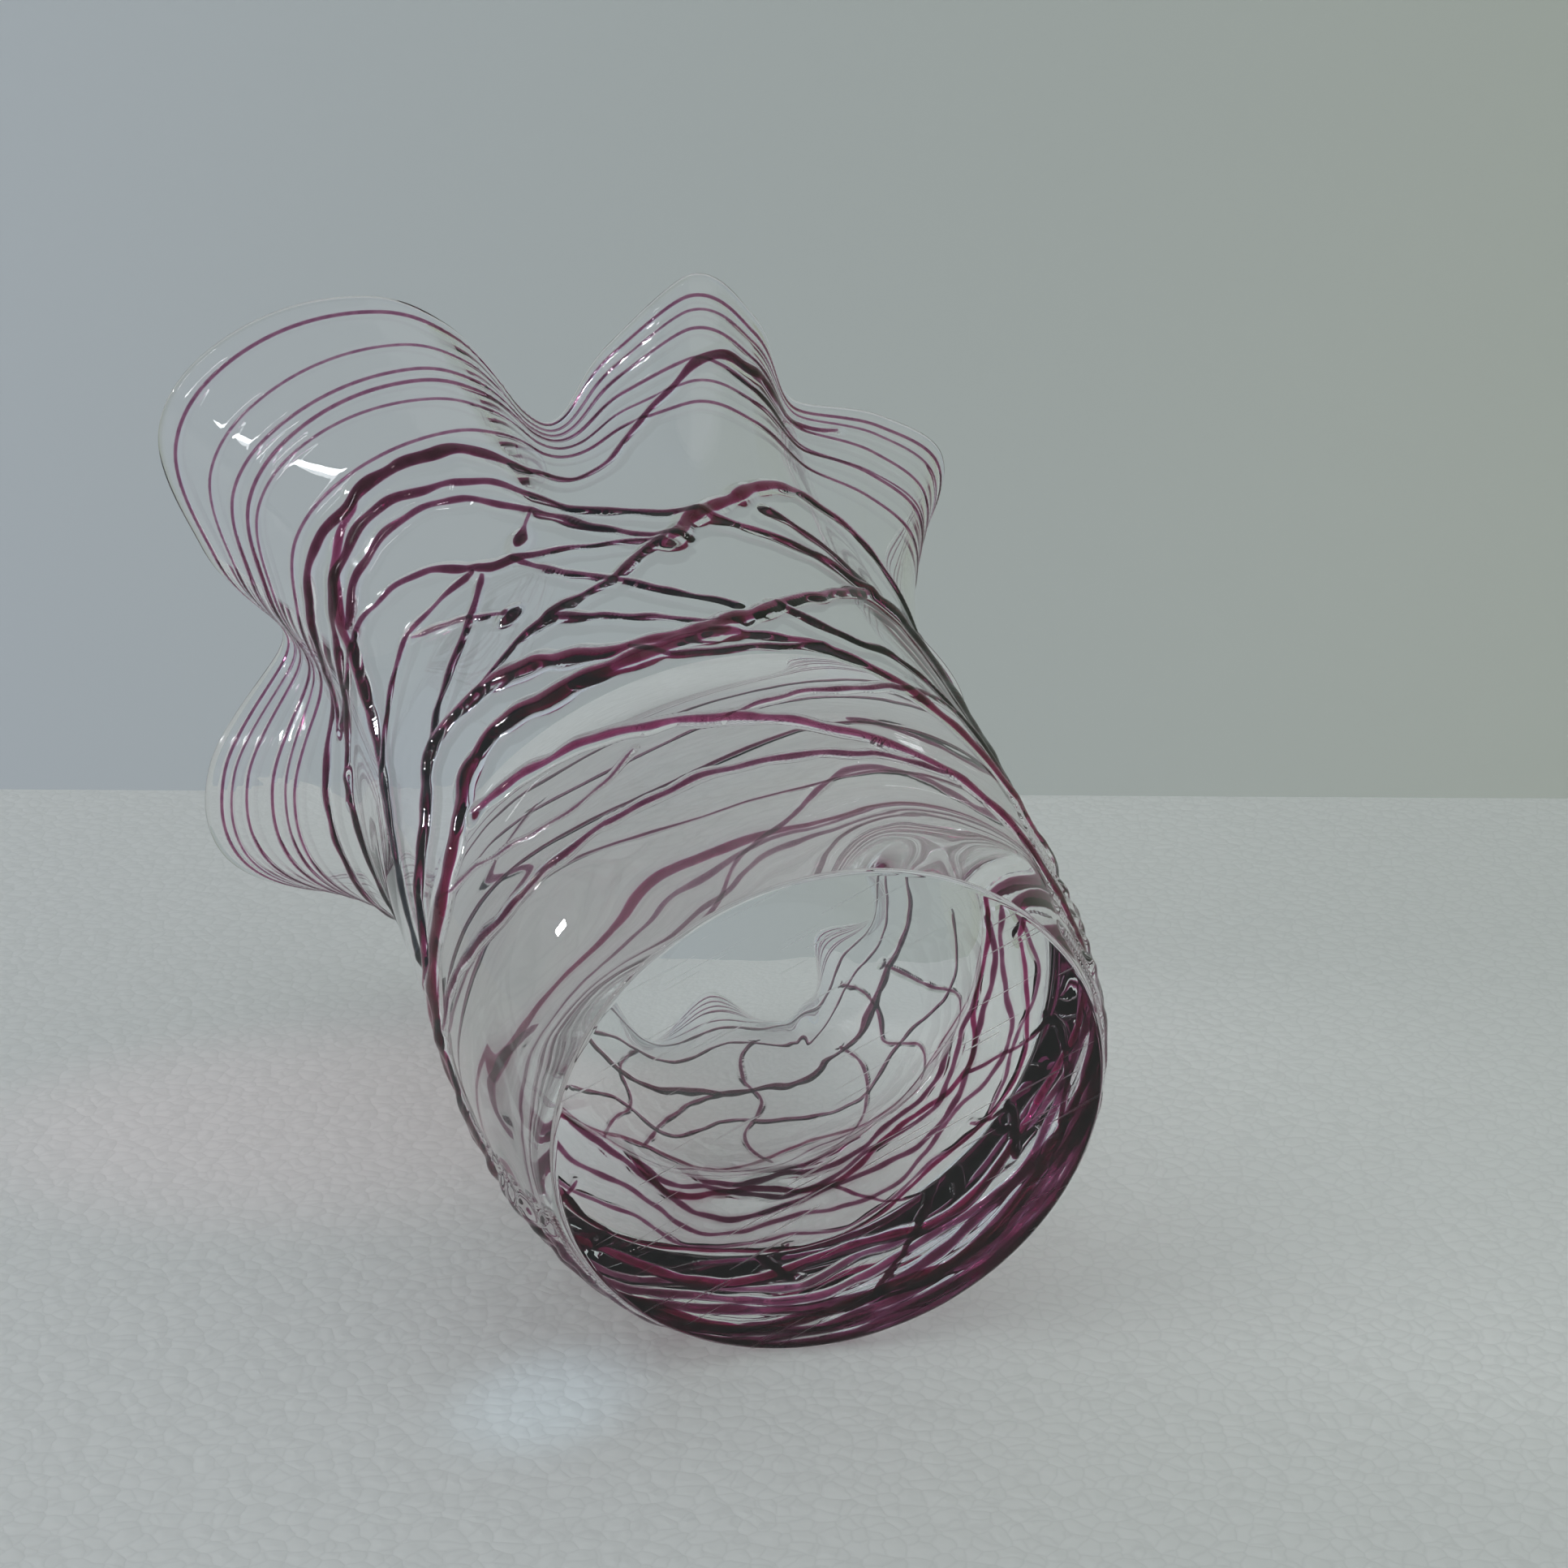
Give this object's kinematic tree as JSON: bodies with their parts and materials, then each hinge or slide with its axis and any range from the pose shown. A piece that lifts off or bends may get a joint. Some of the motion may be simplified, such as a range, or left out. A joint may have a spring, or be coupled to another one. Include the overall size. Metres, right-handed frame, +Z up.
{
  "type": "hand blown glass vase",
  "caption": "Clear blown glass vase with a thick solid base, a ruffled flaring rim and dark amethyst glass trails wound round it.",
  "frame": {"origin": "centre of the flat ground base, on the resting face", "axes": "+Z up the axis of the vase towards the mouth; -Y towards the side with the widest lobe and most of the trails; right-handed"},
  "size_m": [0.155, 0.1717, 0.1641],
  "materials": {
    "clear_glass": "clear blown glass, fire polished",
    "amethyst_glass": "dark amethyst glass trails, fire polished"
  },
  "bodies": {
    "root": {"vase_body": "clear_glass", "trail_heavy_upper": "amethyst_glass", "trail_heavy_lower": "amethyst_glass", "trail_shoulder_top": "amethyst_glass", "trail_shoulder_mid": "amethyst_glass", "trail_shoulder_low": "amethyst_glass", "trail_shoulder_side": "amethyst_glass", "trail_loop": "amethyst_glass", "trail_crossing": "amethyst_glass", "trail_right_heavy": "amethyst_glass", "trail_right_light": "amethyst_glass", "trail_low_main": "amethyst_glass", "trail_low_thin": "amethyst_glass", "trail_low_lower": "amethyst_glass", "strand_a": "amethyst_glass", "strand_b": "amethyst_glass", "strand_c": "amethyst_glass", "strand_dot": "amethyst_glass", "strand_d": "amethyst_glass", "strand_e": "amethyst_glass", "strand_f": "amethyst_glass", "strand_g": "amethyst_glass", "strand_h": "amethyst_glass", "strand_j": "amethyst_glass", "drip": "amethyst_glass", "back_low": "amethyst_glass", "back_mid": "amethyst_glass", "back_upper": "amethyst_glass", "back_shoulder": "amethyst_glass", "back_web": "amethyst_glass", "back_link": "amethyst_glass", "back_branch": "amethyst_glass", "back_net_a": "amethyst_glass", "back_net_b": "amethyst_glass", "back_riser_a": "amethyst_glass", "back_riser_b": "amethyst_glass", "back_riser_c": "amethyst_glass", "heel_wrap_1": "amethyst_glass", "heel_wrap_2": "amethyst_glass", "heel_wrap_3": "amethyst_glass", "heel_wrap_4": "amethyst_glass", "heel_wrap_5": "amethyst_glass", "heel_wrap_6": "amethyst_glass", "heel_wrap_7": "amethyst_glass", "heel_wrap_8": "amethyst_glass", "rim_thread_1": "amethyst_glass", "rim_thread_2": "amethyst_glass", "rim_thread_3": "amethyst_glass", "rim_thread_4": "amethyst_glass", "rim_thread_5": "amethyst_glass", "rim_thread_6": "amethyst_glass"}
  },
  "joints": []
}
